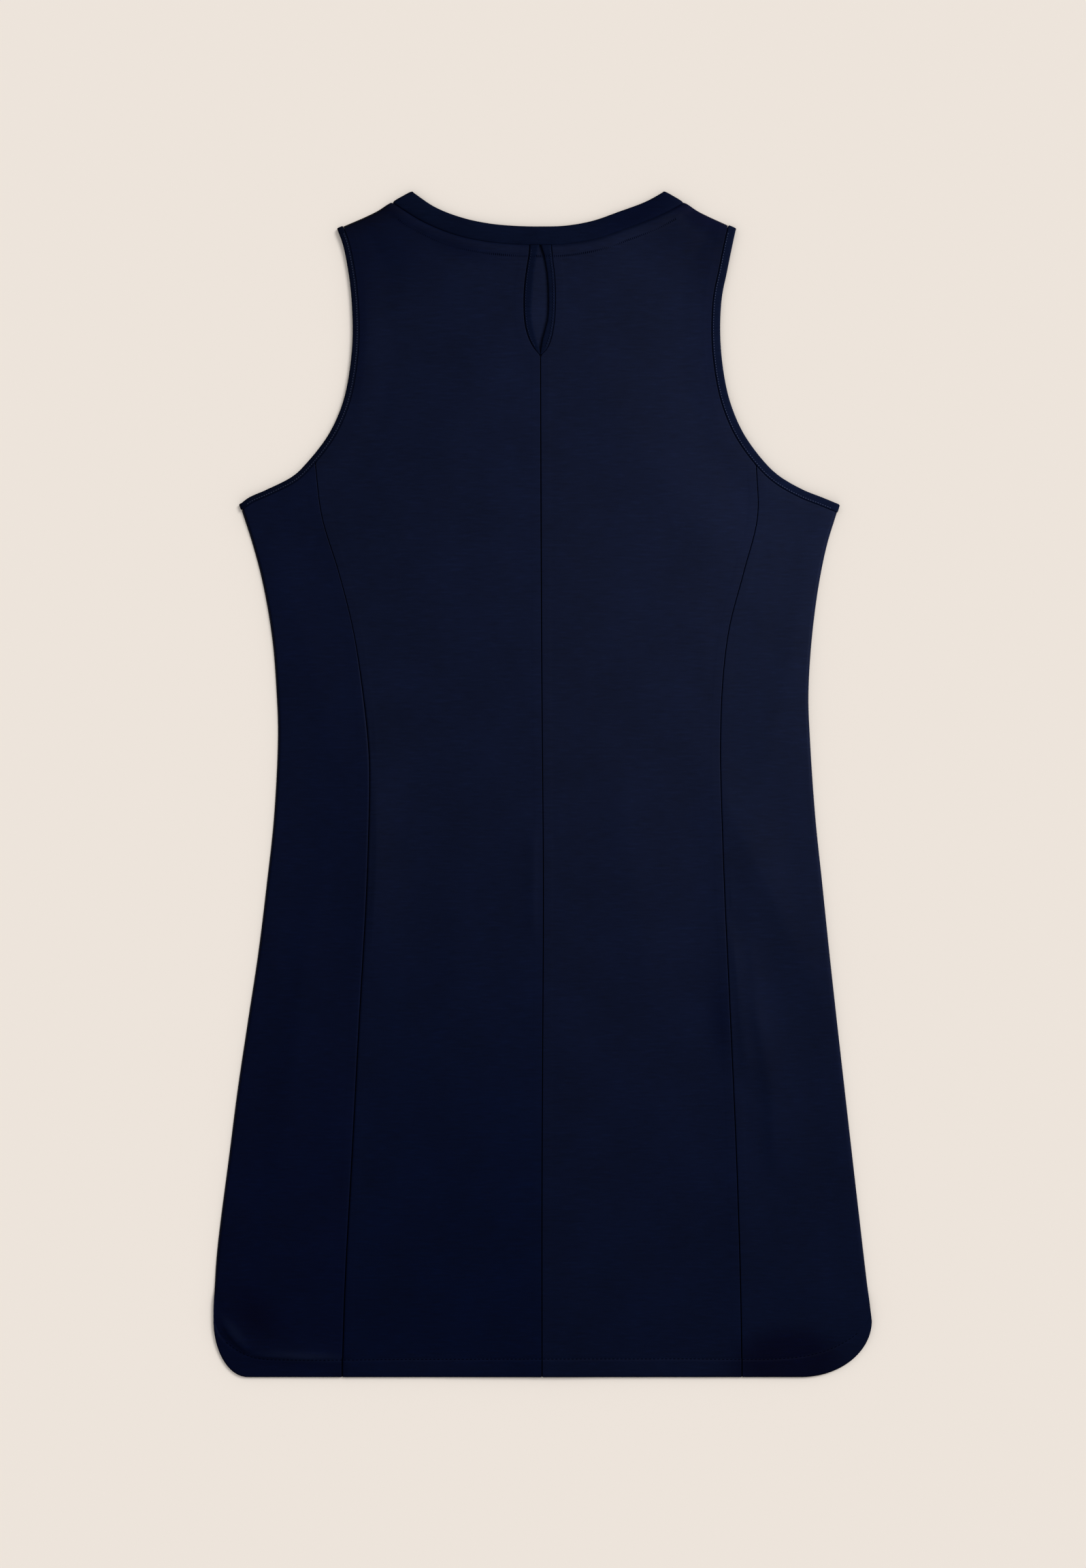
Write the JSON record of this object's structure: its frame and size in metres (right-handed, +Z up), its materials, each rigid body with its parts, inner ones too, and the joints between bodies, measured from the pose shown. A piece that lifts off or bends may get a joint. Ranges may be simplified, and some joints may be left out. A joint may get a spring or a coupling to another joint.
{
  "type": "sleeveless jersey dress",
  "caption": "Knee-length sleeveless dress laid flat with its back up: bound neck, back keyhole, shaped back seams, flared skirt, rounded hem corners.",
  "frame": {"origin": "on the surface that the dress lies on, under the middle of its outline", "axes": "+X to the right as seen from above with the neck at the top, +Y from the hem to the neck, +Z up from the front, which lies below, to the back"},
  "size_m": [0.5028, 0.9057, 0.0051],
  "materials": {
    "jersey": "matt navy jersey knit",
    "trim": "folded strips of the same navy jersey, stitched down"
  },
  "bodies": {
    "root": {"front": "jersey", "back_center_left": "jersey", "back_center_right": "jersey", "back_side_left": "jersey", "back_side_right": "jersey", "neckband": "trim", "armhole_binding_left": "trim", "armhole_binding_right": "trim", "keyhole_binding_left": "trim", "keyhole_binding_right": "trim"}
  },
  "joints": []
}
